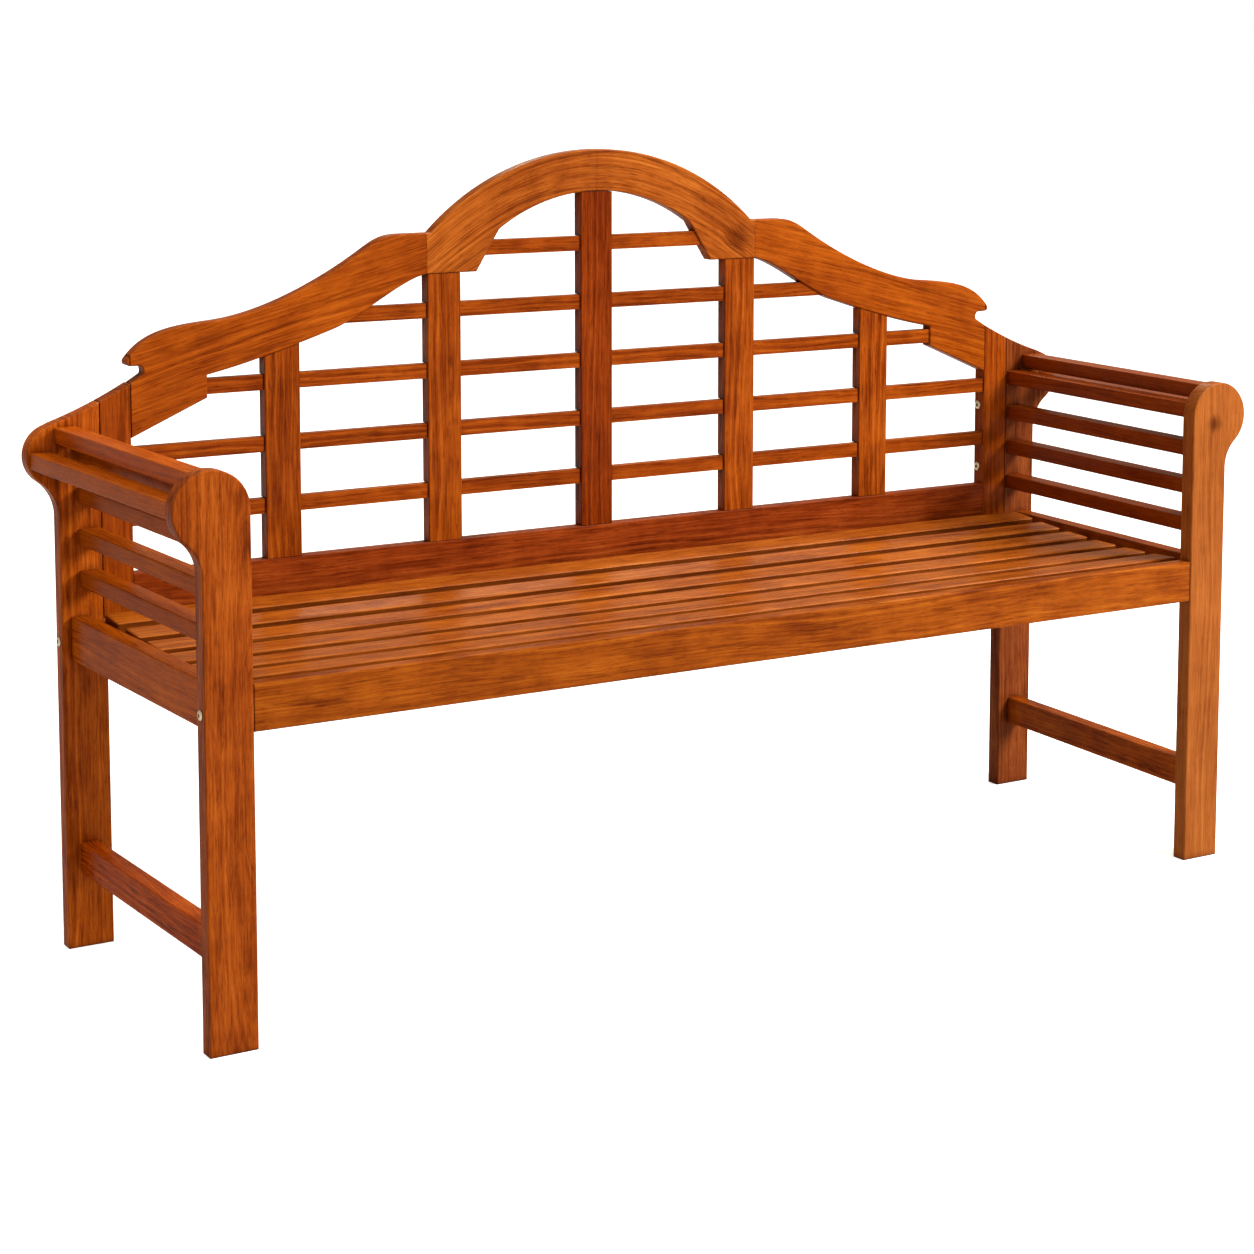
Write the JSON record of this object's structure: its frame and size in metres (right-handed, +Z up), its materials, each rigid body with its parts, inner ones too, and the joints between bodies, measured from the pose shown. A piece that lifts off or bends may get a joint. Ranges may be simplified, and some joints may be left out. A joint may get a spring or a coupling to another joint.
{
  "type": "garden bench",
  "caption": "Wooden garden bench with an arched lattice back, scrolled armrests with slatted sides and a dished slatted seat.",
  "frame": {"origin": "on the ground under the middle of the bench's bounding box", "axes": "+X to the right seen from the front, along the seat; +Y from the front edge of the seat to the back; +Z up"},
  "size_m": [1.6348, 0.4646, 1.0034],
  "materials": {
    "hardwood": "clear and glossy over an orange-brown wood; the species is not known",
    "brass": "polished; the metal is guessed from its colour"
  },
  "bodies": {
    "root": {"front_leg_left": "hardwood", "front_leg_right": "hardwood", "rear_leg_left": "hardwood", "rear_leg_right": "hardwood", "side_apron_left": "hardwood", "side_apron_right": "hardwood", "side_stretcher_left": "hardwood", "side_stretcher_right": "hardwood", "arm_slat_upper_left": "hardwood", "arm_slat_upper_right": "hardwood", "arm_slat_outer_left": "hardwood", "arm_slat_outer_right": "hardwood", "side_rail_1_left": "hardwood", "side_rail_1_right": "hardwood", "side_rail_2_left": "hardwood", "side_rail_2_right": "hardwood", "side_rail_3_left": "hardwood", "side_rail_3_right": "hardwood", "side_rail_4_left": "hardwood", "side_rail_4_right": "hardwood", "crest_arch_left": "hardwood", "crest_arch_right": "hardwood", "crest_wing_left": "hardwood", "crest_wing_right": "hardwood", "back_stile_left": "hardwood", "back_stile_right": "hardwood", "back_bottom_rail": "hardwood", "back_slat_outer_left": "hardwood", "back_slat_inner_left": "hardwood", "back_slat_centre": "hardwood", "back_slat_inner_right": "hardwood", "back_slat_outer_right": "hardwood", "back_lath_1": "hardwood", "back_lath_2": "hardwood", "back_lath_3": "hardwood", "back_lath_4": "hardwood", "back_lath_5": "hardwood", "front_apron": "hardwood", "rear_apron": "hardwood", "seat_slat_1": "hardwood", "seat_slat_2": "hardwood", "seat_slat_3": "hardwood", "seat_slat_4": "hardwood", "seat_slat_5": "hardwood", "seat_slat_6": "hardwood", "seat_bearer_left": "hardwood", "seat_bearer_centre": "hardwood", "seat_bearer_right": "hardwood", "apron_bolt_front_left": "brass", "apron_bolt_rear_left": "brass", "barrel_nut_front_left": "brass", "barrel_nut_rear_left": "brass", "stile_bolt_upper_left": "brass", "stile_bolt_lower_left": "brass", "apron_bolt_front_right": "brass", "apron_bolt_rear_right": "brass", "barrel_nut_front_right": "brass", "barrel_nut_rear_right": "brass", "stile_bolt_upper_right": "brass", "stile_bolt_lower_right": "brass"}
  },
  "joints": []
}
